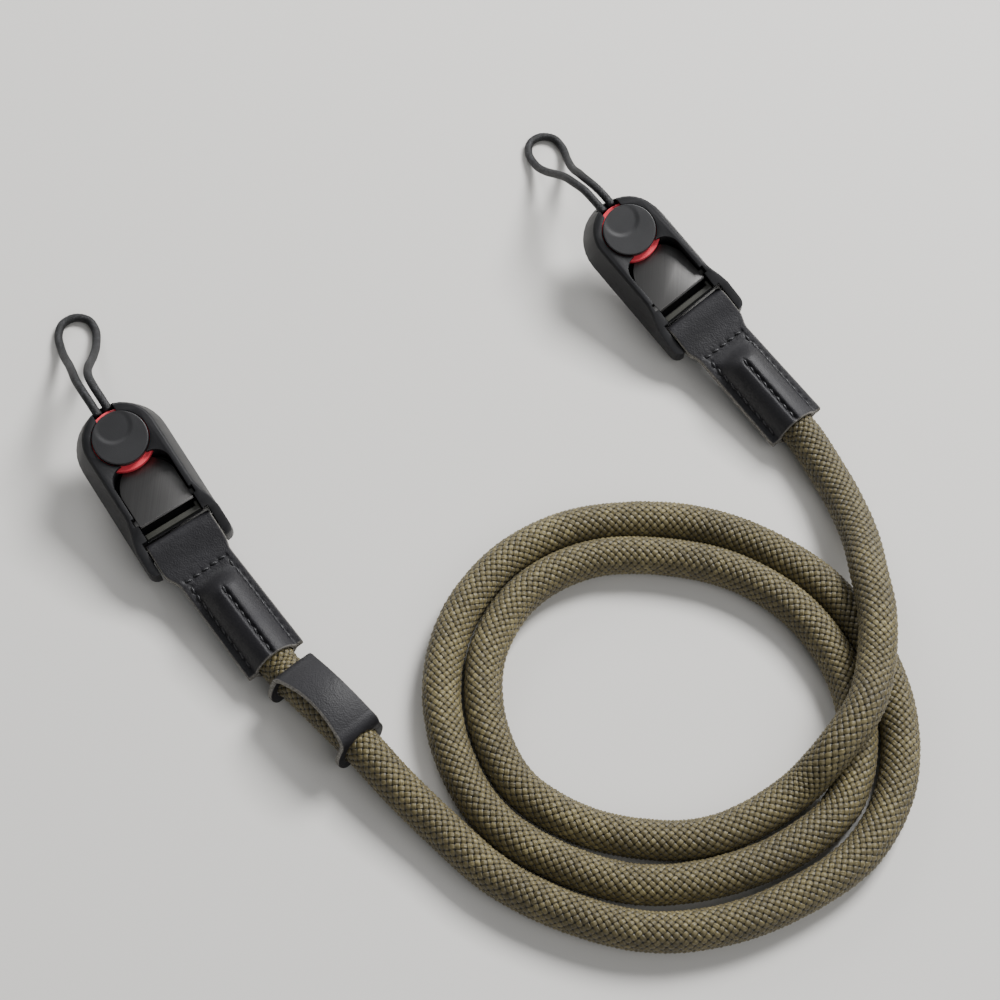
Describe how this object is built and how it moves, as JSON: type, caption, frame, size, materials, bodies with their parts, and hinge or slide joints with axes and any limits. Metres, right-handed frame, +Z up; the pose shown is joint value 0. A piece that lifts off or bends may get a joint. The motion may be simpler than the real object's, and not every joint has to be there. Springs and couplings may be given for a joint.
{
  "type": "camera strap",
  "caption": "Coiled camera strap of thick braided rope with sewn leather ends, a leather keeper and a quick-release connector with a round cord anchor on each end.",
  "frame": {"origin": "on the surface the strap lies on, under the middle of the box around the connectors, leather ends and keeper", "axes": "+Z up; seen from above with +Y up the page, the coil is at the lower right and both connectors point up and to the left"},
  "size_m": [0.2317, 0.2441, 0.0251],
  "materials": {
    "braided_rope": "olive braided sheath, matt with a slight sheen",
    "leather": "black, satin, with lighter raw edges",
    "housing": "moulded, fine matt texture",
    "anchor": "moulded, fine matt texture",
    "anchor_core": "coral red, satin",
    "spring_steel": "dark, polished",
    "anchor_cord": "black braided cord"
  },
  "bodies": {
    "root": {"rope": "braided_rope", "keeper": "leather", "left_leather_end": "leather", "left_housing": "housing", "left_anchor_disc": "anchor", "left_anchor_core": "anchor_core", "left_spring_plate": "spring_steel", "left_anchor_cord": "anchor_cord", "right_leather_end": "leather", "right_housing": "housing", "right_anchor_disc": "anchor", "right_anchor_core": "anchor_core", "right_spring_plate": "spring_steel", "right_anchor_cord": "anchor_cord"}
  },
  "joints": []
}
